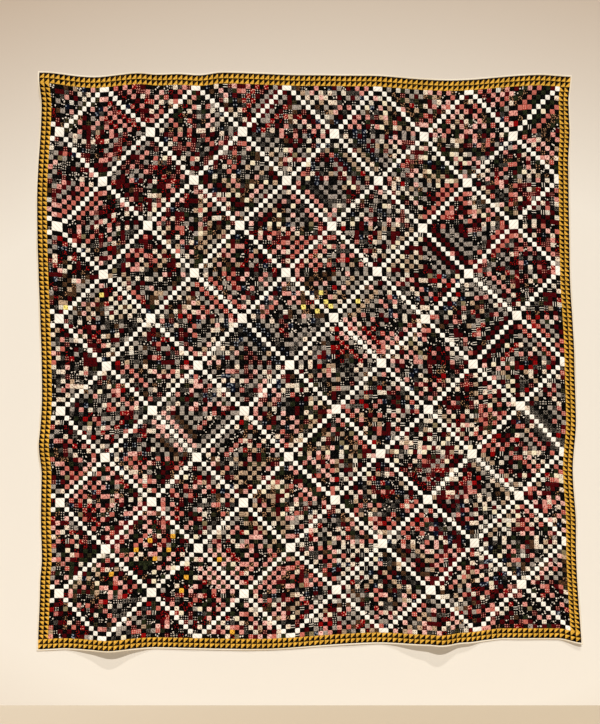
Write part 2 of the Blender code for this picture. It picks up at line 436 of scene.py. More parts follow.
def slab(name, front, back, slant="none", turned=False):
    """Closed slab: a grid of points in front, one as fine or coarser behind, and a rim that joins them.
    Each face of the rim runs over one step of the back grid and all the front steps beside it."""
    rows, columns = front.shape[:2]
    steps = (rows - 1) // (back.shape[0] - 1)
    number = np.arange(rows * columns).reshape(rows, columns)
    behind = number.size + np.arange(back.shape[0] * back.shape[1]).reshape(back.shape[:2])
    groups = [cells_of(number, slant), cells_of(behind, "none")[:, ::-1]]
    sides = (
        (number[0], behind[0]),
        (number[-1, ::-1], behind[-1, ::-1]),
        (number[::-1, 0], behind[::-1, 0]),
        (number[:, -1], behind[:, -1]),
    )
    for fine, coarse in sides:
        first = np.arange(len(coarse) - 1)[:, None] * steps
        run = fine[first + np.arange(steps + 1)]
        groups.append(np.concatenate((run, coarse[1:, None], coarse[:-1, None]), axis=1))
    if turned:
        groups = [group[:, ::-1] for group in groups]
    points = np.concatenate((front.reshape(-1, 3), back.reshape(-1, 3)))
    mesh, corners, sizes = mesh_of(name, points, groups)
    return mesh, corners, sizes, len(groups[0])


def put_map(mesh, name, places):
    """UV map of that name from one place a face corner."""
    layer = mesh.uv_layers.new(name=name)
    layer.uv.foreach_set("vector", np.ascontiguousarray(places, np.float32).ravel())


def put_attribute(mesh, name, kind, domain, field, values):
    """Attribute of the mesh, one value a point or a face."""
    attribute = mesh.attributes.new(name, kind, domain)
    attribute.data.foreach_set(field, np.ascontiguousarray(values, np.float32).ravel())


def bake_places(sizes, shown_faces, shares, hidden_shares, bands, band_of_face):
    """Places on a picture for baking the piece's colours, from two shares a face corner: the shown side
    fills nearly all of it, folded into bands where the piece is long, and the rim and hidden side share a
    strip along one edge."""
    face = np.repeat(np.arange(len(sizes)), sizes)
    band = band_of_face[np.minimum(face, shown_faces - 1)]
    places = np.stack((shares[0] * bands - band, shares[1]), -1)
    margin, width, hidden_height = 0.004, 0.992, 0.03
    shown_start, shown_height = 0.05, 0.945
    band_start, band_height = 0.02, 0.96
    places[:, 0] = margin + width * np.clip(places[:, 0], 0.0, 1.0)
    places[:, 1] = shown_start + shown_height * (band + band_start + band_height * places[:, 1]) / bands
    hidden = face >= shown_faces
    places[hidden] = margin + np.stack(hidden_shares, -1)[hidden] * np.array((width, hidden_height))
    return places


def finish_mesh(mesh, material, crease):
    """Object for a mesh, smooth but for its creases, with its material."""
    mesh.validate()
    mesh.shade_smooth()
    mesh.set_sharp_from_angle(angle=math.radians(crease))
    mesh.materials.append(material)
    piece = bpy.data.objects.new(mesh.name, mesh)
    bpy.context.scene.collection.objects.link(piece)
    return piece


# Node helpers for the materials
def add(tree, kind, inputs=None, **settings):
    """New node with its settings, each input linked to a socket or set to a value."""
    node = tree.nodes.new(kind)
    for key, value in settings.items():
        setattr(node, key, value)
    for slot, value in (inputs or {}).items():
        if isinstance(value, bpy.types.NodeSocket):
            tree.links.new(value, node.inputs[slot])
        else:
            node.inputs[slot].default_value = value
    return node


def maths(tree, operation, *values):
    """Result of a Math node on sockets or numbers."""
    return add(tree, "ShaderNodeMath", dict(enumerate(values)), operation=operation).outputs[0]


def fade(tree, value, start, end, smooth=True):
    """Zero up to start, one from end on."""
    inputs = {"Value": value, "From Min": start, "From Max": end, "To Min": 0.0, "To Max": 1.0}
    kind = "SMOOTHSTEP" if smooth else "LINEAR"
    return add(tree, "ShaderNodeMapRange", inputs, interpolation_type=kind).outputs["Result"]


def blend(tree, share, first, second, mode="MIX"):
    """Colour that goes from first to second with the share."""
    node = add(tree, "ShaderNodeMix", data_type="RGBA", blend_type=mode)
    for slot, value in ((0, share), (6, first), (7, second)):
        if isinstance(value, bpy.types.NodeSocket):
            tree.links.new(value, node.inputs[slot])
        else:
            node.inputs[slot].default_value = value
    return node.outputs[2]


def scaled(tree, vector, amount):
    """Vector times a number or a socket."""
    return add(tree, "ShaderNodeVectorMath", {0: vector, "Scale": amount}, operation="SCALE").outputs[0]


def noise(tree, vector, scale, detail=2.0, dimensions="3D", output=0):
    """Value of a Noise texture."""
    inputs = {"Vector": vector, "Scale": scale, "Detail": detail}
    return add(tree, "ShaderNodeTexNoise", inputs, noise_dimensions=dimensions).outputs[output]


def spots(tree, vector, randomness):
    """Distance to the nearest point of a unit lattice, which randomness disturbs."""
    inputs = {"Vector": vector, "Scale": 1.0, "Randomness": randomness}
    return add(tree, "ShaderNodeTexVoronoi", inputs, voronoi_dimensions="2D").outputs["Distance"]


def stripes(tree, value, half_width):
    """One on stripes that repeat every unit."""
    return fade(tree, maths(tree, "PINGPONG", value, 0.5), half_width + 0.04, half_width - 0.04)


def cloth_shader(name, roughness, sheen):
    """Material with a matt cotton shader, its uniform values set on the shader itself."""
    material = bpy.data.materials.new(name)
    material.use_nodes = True
    tree = material.node_tree
    shader = tree.nodes["Principled BSDF"]
    shader.inputs["Roughness"].default_value = roughness
    shader.inputs["Specular IOR Level"].default_value = 0.02
    shader.inputs["Sheen Weight"].default_value = sheen
    shader.inputs["Sheen Roughness"].default_value = 0.45
    return material, tree, shader


def print_mask(tree, flat, kind, size, turn, shift):
    """Share of the figure's colour: the print of that number, turned, shifted and scaled for its patch."""
    turned = add(
        tree, "ShaderNodeVectorRotate", {"Vector": flat, "Angle": turn}, rotation_type="Z_AXIS"
    ).outputs[0]
    moved = add(tree, "ShaderNodeVectorMath", {0: turned, 1: shift}, operation="ADD").outputs[0]
    unit = scaled(tree, moved, maths(tree, "DIVIDE", 1.0, size))
    parts = add(tree, "ShaderNodeSeparateXYZ", {0: unit}).outputs
    lattice = spots(tree, unit, 0.0)
    loose = spots(tree, unit, 0.9)
    leaf = noise(tree, unit, 2.6, 1.0, "2D")
    along, upright = stripes(tree, parts[0], 0.12), stripes(tree, parts[1], 0.12)
    masks = {
        "dots": fade(tree, lattice, 0.25, 0.20),
        "sprigs": fade(tree, maths(tree, "ADD", loose, maths(tree, "MULTIPLY", leaf, 0.45)), 0.48, 0.43),
        "stripes": along,
        "checks": maths(tree, "MULTIPLY", maths(tree, "ADD", along, upright), 0.5),
        "vine": fade(tree, maths(tree, "ABSOLUTE", maths(tree, "SUBTRACT", leaf, 0.5)), 0.034, 0.020),
        "rings": fade(tree, maths(tree, "ABSOLUTE", maths(tree, "SUBTRACT", lattice, 0.29)), 0.07, 0.045),
    }
    total = 0.0
    for word, mask in masks.items():
        chosen = maths(tree, "COMPARE", kind, float(PRINTS[word]), 0.5)
        total = maths(tree, "MULTIPLY_ADD", chosen, mask, total)
    return total


def thread_and_weave(tree, patches, scale):
    """Quilting lines and weave, from flat places in patches: the thread's mask, the mask of the grooves,
    which also sets painted shade along the lines, and weave. The lines run through the corners of the
    patches, falling left of the middle and rising right of it."""
    parts = add(tree, "ShaderNodeSeparateXYZ", {0: patches}).outputs
    falling = maths(tree, "SUBTRACT", parts[0], parts[1])
    rising = maths(tree, "ADD", parts[0], parts[1])
    right = maths(tree, "GREATER_THAN", parts[0], 0.5 * WIDTH / PATCH)
    step = maths(tree, "SUBTRACT", rising, falling)
    across_line = maths(tree, "MULTIPLY_ADD", right, step, falling)
    along_line = maths(tree, "SUBTRACT", maths(tree, "ADD", rising, falling), across_line)
    # A unit across the line is a patch's diagonal over root two squared, in mm
    gap = maths(tree, "MULTIPLY", maths(tree, "PINGPONG", across_line, 0.5), scale / math.sqrt(2))
    stitch = maths(tree, "FRACT", maths(tree, "MULTIPLY", along_line, scale / math.sqrt(2) / 4.4))
    dash = fade(tree, maths(tree, "ABSOLUTE", maths(tree, "SUBTRACT", stitch, 0.5)), 0.30, 0.24)
    thread = maths(tree, "MULTIPLY", fade(tree, gap, 0.26, 0.16), dash)
    # Zero on a quilting line and one from 2.2 mm away: it sets the bump of the grooves and the painted shade
    # along them
    groove_and_painted_shade = fade(tree, gap, 0.0, 2.2)
    mm = scaled(tree, patches, scale)
    warp = add(tree, "ShaderNodeMapping", {"Vector": mm, "Scale": (1.6, 0.16, 1.0)}).outputs[0]
    weft = add(tree, "ShaderNodeMapping", {"Vector": mm, "Scale": (0.16, 1.6, 1.0)}).outputs[0]
    weave = maths(
        tree,
        "MULTIPLY",
        maths(tree, "ADD", noise(tree, warp, 1.0, 1.0, "2D"), noise(tree, weft, 1.0, 1.0, "2D")),
        0.5,
    )
    return thread, groove_and_painted_shade, weave


def surface_bump(tree, shader, height, distance, strength):
    """Bump of that height share and distance in metres, into the shader's normal."""
    inputs = {"Height": height, "Distance": distance, "Strength": strength}
    bump = add(tree, "ShaderNodeBump", inputs)
    tree.links.new(bump.outputs["Normal"], shader.inputs["Normal"])


def pieced_material(name, sheen):
    """Printed cottons: each face holds its patch's ground, figure, print and shift, and the point
    attribute swell is zero in the seams. Weave, fading, painted shade in the seams and along the quilting
    lines, and quilting thread come on top."""
    material, tree, shader = cloth_shader(name, 0.88, sheen)

    def held(word, output="Vector"):
        return add(tree, "ShaderNodeAttribute", attribute_name=word).outputs[output]

    patches = add(tree, "ShaderNodeUVMap", uv_map="laid_flat").outputs[0]
    scale = PATCH * 1000
    kind = add(tree, "ShaderNodeSeparateXYZ", {0: held("print")}).outputs
    shift = held("shift")
    tone = add(tree, "ShaderNodeSeparateXYZ", {0: shift}).outputs[2]
    mask = print_mask(tree, scaled(tree, patches, scale), kind[0], kind[1], kind[2], shift)
    colour = blend(tree, mask, held("ground", "Color"), held("figure", "Color"))

    thread, groove_and_painted_shade, weave = thread_and_weave(tree, patches, scale)
    where = add(tree, "ShaderNodeTexCoord").outputs["Object"]
    worn = noise(tree, where, 9.0, 3.0)
    level = maths(tree, "MULTIPLY_ADD", tone, 0.022, 0.84)
    level = maths(tree, "MULTIPLY_ADD", worn, 0.26, level)
    level = maths(tree, "MULTIPLY", level, maths(tree, "MULTIPLY_ADD", weave, 0.30, 0.87))
    # Painted shade: the colour is darkened down to 0.45 in the seams between patches, where the swell is
    # zero
    seam = maths(tree, "MULTIPLY_ADD", fade(tree, held("swell", "Fac"), 0.0, 0.30), 0.55, 0.45)
    level = maths(tree, "MULTIPLY", level, seam)
    # Painted shade: the colour is darker along the quilting lines, down to 0.70 on a line
    level = maths(tree, "MULTIPLY", level, maths(tree, "MULTIPLY_ADD", groove_and_painted_shade, 0.36, 0.70))
    shaded = scaled(tree, colour, level)
    sewn = blend(tree, maths(tree, "MULTIPLY", thread, 0.65), shaded, DARK_THREAD)
    tree.links.new(sewn, shader.inputs["Base Color"])
    tree.links.new(maths(tree, "MULTIPLY_ADD", weave, 0.16, 0.80), shader.inputs["Roughness"])
    height = maths(tree, "MULTIPLY_ADD", weave, 0.30, maths(tree, "MULTIPLY", groove_and_painted_shade, 0.75))
    surface_bump(tree, shader, height, 0.0005, 0.8)
    return material


def plain_material(name, colour, stain, lines, sheen):
    """Plain woven cotton in one colour, yellowed in places, with quilting lines where it has them, their
    grooves darkened with painted shade.
    """
    material, tree, shader = cloth_shader(name, 0.9, sheen)
    patches = add(tree, "ShaderNodeUVMap", uv_map="laid_flat").outputs[0]
    thread, groove_and_painted_shade, weave = thread_and_weave(tree, patches, PATCH * 1000)
    where = add(tree, "ShaderNodeTexCoord").outputs["Object"]
    aged = fade(tree, noise(tree, where, 3.5, 4.0), 0.40, 0.75)
    base = blend(tree, aged, (*linear(colour), 1.0), (*linear(stain), 1.0))
    level = maths(tree, "MULTIPLY_ADD", weave, 0.22, 0.87)
    height = maths(tree, "MULTIPLY", weave, 0.4)
    if lines:
        # Painted shade: the backing's colour is darker along its quilting lines, down to 0.78 on a line
        level = maths(tree, "MULTIPLY", level, maths(tree, "MULTIPLY_ADD", groove_and_painted_shade, 0.26, 0.78))
        height = maths(tree, "MULTIPLY_ADD", groove_and_painted_shade, 0.9, height)
    shaded = scaled(tree, base, level)
    if lines:
        shaded = blend(tree, maths(tree, "MULTIPLY", thread, 0.7), shaded, PALE_THREAD)
    tree.links.new(shaded, shader.inputs["Base Color"])
    tree.links.new(maths(tree, "MULTIPLY_ADD", weave, 0.14, 0.82), shader.inputs["Roughness"])
    surface_bump(tree, shader, height, 0.0005, 0.8)
    return material


# Layout of the centre
def block_layout():
    """The run of each patch of the centre, the number of the large square that a patch is part of, or
    -1, and the number of its block.

    The centre is made of blocks of ten by ten, whose pale diagonal falls or rises by turns, starting two
    patches in from the left. A run is the patches as many diagonals away from the pale one, on both
    sides of it. Where four pale diagonals meet, four patches are one large square."""
    column = np.arange(PATCHES_ACROSS)[None, :] - BLOCK_START
    row = np.arange(PATCHES_DOWN)[:, None]
    block_column, block_row = column // BLOCK, row // BLOCK
    in_column, in_row = column % BLOCK, row % BLOCK
    falls = (block_column + block_row) % 2 == 1
    run = np.abs(np.where(falls, in_column - in_row, in_column + in_row - (BLOCK - 1)))
    corner_column = np.rint((column + 0.5) / BLOCK).astype(int)
    corner_row = np.rint((row + 0.5) / BLOCK).astype(int)
    near_column = np.abs(column + 0.5 - BLOCK * corner_column) < 1
    near_row = np.abs(row + 0.5 - BLOCK * corner_row) < 1
    meets = near_column & near_row & ((corner_column + corner_row) % 2 == 1)
    large = np.where(meets, LARGE_A_COLUMN * (corner_column + 1) + corner_row, -1)
    return run, large, block_column + 1 + BLOCKS_A_ROW * block_row


def draw_fabrics(names, run, block):
    """Fabric number of each patch of the centre: pale muslin in run 0, and elsewhere either the one
    fabric of its run in that block, or a stray from the block's two scrap boxes or from all fabrics.
    Odd runs are dark. Even runs are light or at least show a print, so no plain black goes there."""
    boxes = list(SCRAPS)
    number = {name: index for index, name in enumerate(names)}
    any_dark, any_light = [
        np.array([number[name] for name in names if FABRICS[name][0] == group and name not in SCARCE])
        for group in ("dark", "light")
    ]
    black = number["black plain"]
    any_dark = any_dark[any_dark != black]
    with_black = np.append(any_dark, np.full(BLACKS_A_PRINT * len(any_dark), black))
    everything = (with_black, any_dark, any_light)
    single = [number[name] for name in SINGLE]
    is_even = np.arange(BLOCK) % 2 == 0
    picked = np.zeros(run.shape, int)
    for label in np.unique(block):
        rows, columns = np.nonzero(block == label)
        across = SIDE_SEAM + PATCH * (columns.mean() + 0.5)
        down = END_SEAM + PATCH * (rows.mean() + 0.5)
        weight = dict(EVERYWHERE)
        for spot_across, spot_down, reach, box, more in LEANINGS:
            apart = math.hypot(across - spot_across, down - spot_down) / reach
            weight[box] += more * math.exp(-apart * apart)
        share = np.array([weight[box] for box in boxes])
        first, second = chance.choice(len(boxes), 2, p=share / share.sum())
        light, dark = [
            np.array([number[name] for box in (first, first, second) for name in SCRAPS[boxes[box]][side]])
            for side in (0, 1)
        ]
        own = (np.append(dark, np.full(BLACKS_A_PRINT * len(dark), black)), dark, light)
        common = (*own[:2], light[~np.isin(light, single)])
        run_side = np.where(is_even, np.where(chance.random(BLOCK) < LIGHT_RUNS, 2, 1), 0)
        run_fabric = np.choose(run_side, [chance.choice(side, BLOCK) for side in common])
        patches = len(rows)
        own_run = run[rows, columns]
        light_share = np.where(is_even, SCRAPS[boxes[first]][2], LIGHT_ON_DARK)[own_run]
        stray_side = np.where(chance.random(patches) < light_share, 2, is_even[own_run].astype(int))
        from_box = chance.random(patches) < FROM_BOX
        stray = np.where(
            from_box,
            np.choose(stray_side, [chance.choice(side, patches) for side in own]),
            np.choose(stray_side, [chance.choice(side, patches) for side in everything]),
        )
        orderly = ORDERLY[0] + (ORDERLY[1] - ORDERLY[0]) * chance.random() ** ORDERLY_RARE
        keeps_run = chance.random(patches) < orderly
        picked[rows, columns] = np.where(keeps_run, run_fabric[own_run], stray)
    picked[run == 0] = number["muslin"]
    return picked


def fabric_table(fabrics):
    """Arrays of the grounds, the figures, and the print numbers and sizes of a table of fabrics."""
    grounds = np.array([linear(row[1]) for row in fabrics.values()])
    figures = np.array([linear(row[2]) for row in fabrics.values()])
    prints = np.array([(PRINTS[row[3]], row[4]) for row in fabrics.values()])
    return grounds, figures, prints


def patch_stations(count):
    """Places along a run of patches: each seam and the stations after it, in patches."""
    return np.append((np.arange(count)[:, None] + SHARES).ravel(), float(count))


def between(nodes, down, across):
    """Bilinear value of a grid of nodes at places given in patches."""
    row = np.minimum(down.astype(int), nodes.shape[0] - 2)
    column = np.minimum(across.astype(int), nodes.shape[1] - 2)
    part_down, part_across = down - row, across - column
    upper = nodes[row, column] * (1 - part_across) + nodes[row, column + 1] * part_across
    lower = nodes[row + 1, column] * (1 - part_across) + nodes[row + 1, column + 1] * part_across
    return upper * (1 - part_down) + lower * part_down


def station_swell(rows, columns, large):
    """How far the cloth has risen at each station: nothing in a seam, all in the middle of a patch.
    The seams inside a large square are left out."""
    down = np.append(np.tile(SWELL, rows), 0.0)[:, None] * np.ones(STEPS * columns + 1)
    across = np.ones(STEPS * rows + 1)[:, None] * np.append(np.tile(SWELL, columns), 0.0)
    if large is not None:
        whole = np.pad(large, 1, constant_values=-1)
        fine_row = np.repeat(np.arange(1, rows + 1), STEPS)
        fine_row = np.append(fine_row, rows + 1)
        fine_column = np.append(np.repeat(np.arange(1, columns + 1), STEPS), columns + 1)
        on_row = np.append(np.tile(SHARES == 0, rows), True)
        on_column = np.append(np.tile(SHARES == 0, columns), True)
        before_row = fine_row - on_row
        before_column = fine_column - on_column
        here = whole[np.ix_(fine_row, fine_column)]
        same = (
            (here == whole[np.ix_(before_row, fine_column)])
            & (here == whole[np.ix_(fine_row, before_column)])
            & (here == whole[np.ix_(before_row, before_column)])
            & (here >= 0)
        )
        across = np.where(same & on_column[None, :], 1.0, across)
        down = np.where(same & on_row[:, None], 1.0, down)
    return np.minimum(down, across)


def dress(mesh, corners, sizes, shown_faces, fabric, shift, table, swell, flat_places):
    """Put each face's fabric on the mesh, the swell and the flat places of its points."""
    grounds, figures, prints = table
    hidden = len(sizes) - shown_faces
    fabric = np.concatenate((fabric, np.zeros(hidden, int)))
    shift = np.concatenate((shift, np.zeros((hidden, 4))))
    opaque = np.ones((len(sizes), 1))
    put_attribute(mesh, "ground", "FLOAT_COLOR", "FACE", "color", np.hstack((grounds[fabric], opaque)))
    put_attribute(mesh, "figure", "FLOAT_COLOR", "FACE", "color", np.hstack((figures[fabric], opaque)))
    kinds = np.hstack((prints[fabric], shift[:, 3:]))
    put_attribute(mesh, "print", "FLOAT_VECTOR", "FACE", "vector", kinds)
    put_attribute(mesh, "shift", "FLOAT_VECTOR", "FACE", "vector", shift[:, :3])
    put_attribute(mesh, "swell", "FLOAT", "POINT", "value", swell)
    put_map(mesh, "laid_flat", flat_places[corners])


def patch_shifts(shape):
    """For each patch: how far its print is shifted across and down, its tone, and the print's turn."""
    quarter = chance.integers(0, 4, shape) * 0.5 * math.pi
    slight = chance.normal(0.0, 0.06, shape)
    across, down, tone = [chance.uniform(0, most, shape) for most in (90, 90, 8)]
    return np.stack((across, down, tone, quarter + slight), -1)


def build_centre(material):
    """Pieced centre as panels of 28 by 20 patches, cut along their seams."""
    run, large, block = block_layout()
    fabric = draw_fabrics(list(FABRICS), run, block)
    shift = patch_shifts(fabric.shape)
    puffs = chance.uniform(PUFF - PUFF_SPREAD, PUFF + PUFF_SPREAD, fabric.shape)
    puffs = np.where(large >= 0, PUFF, puffs)

    node_across, node_down = np.meshgrid(np.arange(PATCHES_ACROSS + 1.0), np.arange(PATCHES_DOWN + 1.0))
    flat_across = SIDE_SEAM + PATCH * node_across
    flat_down = END_SEAM + PATCH * node_down
    inside = np.minimum.reduce(
        (node_across, PATCHES_ACROSS - node_across, node_down, PATCHES_DOWN - node_down)
    )
    free = np.clip(inside / 4.0, 0.0, 1.0)
    creep_across = SEAM_JITTER * chance.normal(0, 1, free.shape)
    creep_down = 0.7 * SEAM_JITTER * chance.normal(0, 1, free.shape)
    for crest_across, crest_down, to_left, to_right, up, below, right, sag in CREEPS:
        near = bell(flat_across, crest_across, to_left, to_right) * bell(flat_down, crest_down, up, below)
        creep_across += right * near
        creep_down += sag * near
    flat_across = flat_across + free * creep_across
    flat_down = flat_down + free * creep_down

    along, downward = np.meshgrid(patch_stations(PATCHES_ACROSS), patch_stations(PATCHES_DOWN))
    across, down = between(flat_across, downward, along), between(flat_down, downward, along)
    swell = station_swell(PATCHES_DOWN, PATCHES_ACROSS, large)
    patch_row = np.minimum(downward.astype(int), PATCHES_DOWN - 1)
    patch_column = np.minimum(along.astype(int), PATCHES_ACROSS - 1)
    front = place(across, down, top_height(across, down, swell * puffs[patch_row, patch_column]))
    back_along, back_downward = along[::2, ::2], downward[::2, ::2]
    back = place(across[::2, ::2], down[::2, ::2], np.full_like(back_along, TOP_CLOTH_BACK))

    table = fabric_table(FABRICS)
    panels = []
    wide, tall = PANEL
    for top in range(0, PATCHES_DOWN, tall):
        for left in range(0, PATCHES_ACROSS, wide):
            fine = np.s_[STEPS * top : STEPS * (top + tall) + 1, STEPS * left : STEPS * (left + wide) + 1]
            coarse = np.s_[2 * top : 2 * (top + tall) + 1, 2 * left : 2 * (left + wide) + 1]
            name = f"patchwork_{top // tall}_{left // wide}"
            mesh, corners, sizes, shown = slab(name, front[fine], back[coarse])
            cells = np.s_[top : top + tall, left : left + wide]
            own = np.repeat(np.repeat(fabric[cells], STEPS, 0), STEPS, 1).ravel()
            moved = np.repeat(np.repeat(shift[cells], STEPS, 0), STEPS, 1).reshape(-1, 4)
            places_across = np.concatenate((along[fine].ravel(), back_along[coarse].ravel()))
            places_down = np.concatenate((downward[fine].ravel(), back_downward[coarse].ravel()))
            puffed = np.concatenate((swell[fine].ravel(), np.zeros(back_along[coarse].size)))
            flat_places = np.stack((places_across, places_down), -1)
            dress(mesh, corners, sizes, shown, own, moved, table, puffed, flat_places)
            shares = ((places_across[corners] - left) / wide, (places_down[corners] - top) / tall)
            put_map(mesh, "OFBake", bake_places(sizes, shown, shares, shares, 1, np.zeros(shown, int)))
            panels.append(finish_mesh(mesh, material, 24))
    return panels


def build_strip(name, seams_across, seams_down, slant, upper, lower, material):
    """Border strip of half-square triangles: every unit between the seams is cut along the slant, and
    upper and lower are the numbers of the fabrics above and below it."""
    rows, columns = len(seams_down) - 1, len(seams_across) - 1
    node_across, node_down = np.meshgrid(seams_across, seams_down)
    along, downward = np.meshgrid(patch_stations(columns), patch_stations(rows))
    across, down = between(node_across, downward, along), between(node_down, downward, along)
    part_across, part_down = along % 1.0, downward % 1.0
    off_slant = np.abs(part_across - part_down)
    if slant == "rising":
        off_slant = np.abs(part_across + part_down - 1.0)
    swell = np.minimum(station_swell(rows, columns, None), np.clip(2.2 * off_slant, 0.0, 1.0))
    front = place(across, down, top_height(across, down, PUFF * swell))
    back_across, back_down = across[::2, ::2], down[::2, ::2]
    back = place(back_across, back_down, np.full_like(back_across, TOP_CLOTH_BACK))
    mesh, corners, sizes, shown = slab(name, front, back, slant)

    # Which side of the slant each triangle lies on, from the middle of its three corners
    middle = corners[: 3 * shown].reshape(-1, 3)
    unit_row = np.repeat(np.repeat(np.arange(rows), STEPS)[:, None], 2 * STEPS * columns, 1).ravel()
    unit_column = np.tile(np.repeat(np.arange(columns), 2 * STEPS), STEPS * rows)
    middle_across = along.ravel()[middle].mean(1) - unit_column
    middle_down = downward.ravel()[middle].mean(1) - unit_row
    is_upper = middle_across + middle_down < 1.0 if slant == "rising" else middle_across > middle_down
    own = np.where(is_upper, upper, lower)
    shift = patch_shifts((rows, columns, 2))[unit_row, unit_column, is_upper.astype(int)]

    flat_across = np.concatenate((across.ravel(), back_across.ravel()))
    flat_down = np.concatenate((down.ravel(), back_down.ravel()))
    puffed = np.concatenate((swell.ravel(), np.zeros(back_across.size)))
    flat_places = np.stack((flat_across - SIDE_SEAM, flat_down - END_SEAM), -1) / PATCH
    dress(mesh, corners, sizes, shown, own, shift, fabric_table(BORDER_FABRICS), puffed, flat_places)

    lengthwise, crosswise, unit, units = along, downward, unit_column, columns
    if rows > columns:
        lengthwise, crosswise, unit, units = downward, along, unit_row, rows
    bands = 8
    share_along = np.concatenate((lengthwise.ravel(), lengthwise[::2, ::2].ravel())) / units
    share_cross = np.concatenate((crosswise.ravel(), crosswise[::2, ::2].ravel())) / min(rows, columns)
    band = unit * bands // units
    shares = (share_along[corners], share_cross[corners])
    put_map(mesh, "OFBake", bake_places(sizes, shown, shares, shares, bands, band))
    return finish_mesh(mesh, material, 24)


def build_borders(material):
    """Four strips of two rows of triangles, mustard and black, with a margin under the binding."""
    mustard, black = 0, 1
    half = 0.5 * SIDE_BORDER
    side_run = BINDING + half * np.arange(3)
    end_run = BINDING + 0.5 * END_BORDER * np.arange(3)
    top_units = np.linspace(SIDE_SEAM, WIDTH - SIDE_SEAM, 101)
    left_units = np.concatenate(([EDGE_INSET], side_run[:2]))
    across = np.concatenate((left_units, top_units, WIDTH - left_units[::-1]))
    down = np.concatenate(([EDGE_INSET], end_run))
    side = np.concatenate(([EDGE_INSET], side_run))
    rows = np.linspace(END_SEAM, HEIGHT - END_SEAM, PATCHES_DOWN + 1)
    return [
        build_strip("triangles_top", across, down, "rising", black, mustard, material),
        build_strip("triangles_bottom", across, HEIGHT - down[::-1], "rising", mustard, black, material),
        build_strip("triangles_left", side, rows, "falling", mustard, black, material),
        build_strip("triangles_right", WIDTH - side[::-1], rows, "falling", black, mustard, material),
    ]


def build_backing(material):
    """Backing cloth: the outer face follows the quilt's back, thinner in the binding's grip."""
    across = np.linspace(EDGE_INSET, WIDTH - EDGE_INSET, 160 + 1)
    down = np.linspace(EDGE_INSET, HEIGHT - EDGE_INSET, 172 + 1)
    across, down = np.meshgrid(across, down)
    free = np.clip((inward_of(across, down) - BINDING) / BACK_GRIP, 0.0, 1.0)
    outer = place(across, down, -(GRIPPED_RISE + free * (-BACKING_RISE - GRIPPED_RISE)))
    inner = place(across, down, np.full_like(across, BACKING_FRONT))
    mesh, corners, sizes, shown = slab("backing_cloth", outer, inner, turned=True)
    flat_across = np.tile(across.ravel(), 2)
    flat_down = np.tile(down.ravel(), 2)
    places = np.stack((flat_across - SIDE_SEAM, flat_down - END_SEAM), -1) / PATCH
    put_map(mesh, "laid_flat", places[corners])
    shares = (1.0 - flat_across[corners] / WIDTH, flat_down[corners] / HEIGHT)
    put_map(mesh, "OFBake", bake_places(sizes, shown, shares, shares, 1, np.zeros(shown, int)))
    return finish_mesh(mesh, material, 40)


# Section of the binding, from the inner edge of its front leg round to that of its back leg.
# Columns: distance in from the edge and rise of the outer face, then of the inner face, in mm
BINDING_SECTION = (
    (6.55, 1.10, 6.50, 0.98),
    (6.40, 1.50, 6.20, 0.96),
    (5.60, 1.82, 5.40, 0.96),
    (4.00, 1.98, 4.00, 0.96),
    (2.40, 1.94, 2.40, 0.96),
    (1.20, 1.66, 1.60, 0.92),
    (0.40, 1.14, 1.20, 0.62),
    (0.05, 0.45, 1.00, 0.20),
    (0.05, -0.40, 1.00, -0.20),
    (0.40, -1.05, 1.20, -0.62),
    (1.20, -1.55, 1.60, -0.92),
    (2.40, -1.74, 2.40, -0.96),
    (4.00, -1.78, 4.00, -0.96),
    (5.60, -1.72, 5.40, -0.96),
    (6.40, -1.40, 6.20, -0.96),
    (6.55, -1.08, 6.50, -0.98),
)


def build_binding(name, length, to_flat, material):
    """Binding folded over one edge: its closed section is carried along the edge, its inner edges waver
    with the hand stitches, and its ends are cut to a mitre."""
    section = np.array(BINDING_SECTION) / 1000
    inset = np.concatenate((section[:, 0], section[::-1, 2]))
    rise = np.concatenate((section[:, 1], section[::-1, 3]))
    stations = np.linspace(0.0, length, int(length / (STITCH / 2)) + 1)
    waver = 0.00022 * np.sin(2 * math.pi * stations / STITCH) + 0.0002 * chance.normal(0, 1, len(stations))
    along, inward = np.meshgrid(stations, inset)
    leg = np.clip((inward - 0.004) / 0.0025, 0.0, 1.0)
    inward = inward + leg * waver
    puckered = np.clip(np.abs(rise) - 0.0012, 0.0, 1.0) * np.sign(rise)
    pull = 0.5 + 0.5 * np.cos(2 * math.pi * stations / STITCH)
    raised = rise[:, None] - (puckered * 0.22)[:, None] * pull
    along = np.clip(along, inward + 0.00005, length - inward - 0.00005)
    across, down = to_flat(along, inward)
    points = place(across, down, raised)

    count, columns = points.shape[:2]
    number = np.arange(count * columns).reshape(count, columns)
    ring = np.concatenate((number, number[:1]))
    tube = cells_of(ring, "none")
    half = count // 2
    walls = []
    for end, order in ((0, 1), (-1, -1)):
        outer, inner = number[:half, end], number[half:, end][::-1]
        wall = np.stack((outer[:-1], inner[:-1], inner[1:], outer[1:]), -1)
        walls.append(wall[:, ::order])
    mesh, corners, sizes = mesh_of(name, points.reshape(-1, 3), [tube, *walls])
    girth = np.append(0.0, np.cumsum(np.hypot(np.diff(inset), np.diff(rise))))
    grid = np.meshgrid(stations / 0.019, girth)
    round_share = grid[1] / (grid[1].max() + 0.001)
    flat_places = np.stack((grid[0].ravel(), (grid[1] / 0.019).ravel()), -1)
    put_map(mesh, "laid_flat", flat_places[corners])
    shown = len(tube)
    cell = np.tile(np.arange(columns - 1), count)
    bands = 8
    band = cell * bands // (columns - 1)
    share_along = np.tile(np.arange(columns) / (columns - 1), count)
    share_round = round_share.ravel()[corners]
    # The last row of cells closes the ring, so its far corners are at the end of the round
    last = np.zeros(len(corners), bool)
    last[4 * (count - 1) * (columns - 1) : 4 * shown] = True
    share_round = np.where(last & (share_round < 0.001), 1.0, share_round)
    shares = (share_along[corners], share_round)
    hidden_shares = (share_round, share_round)
    put_map(mesh, "OFBake", bake_places(sizes, shown, shares, hidden_shares, bands, band))
    return finish_mesh(mesh, material, 50)


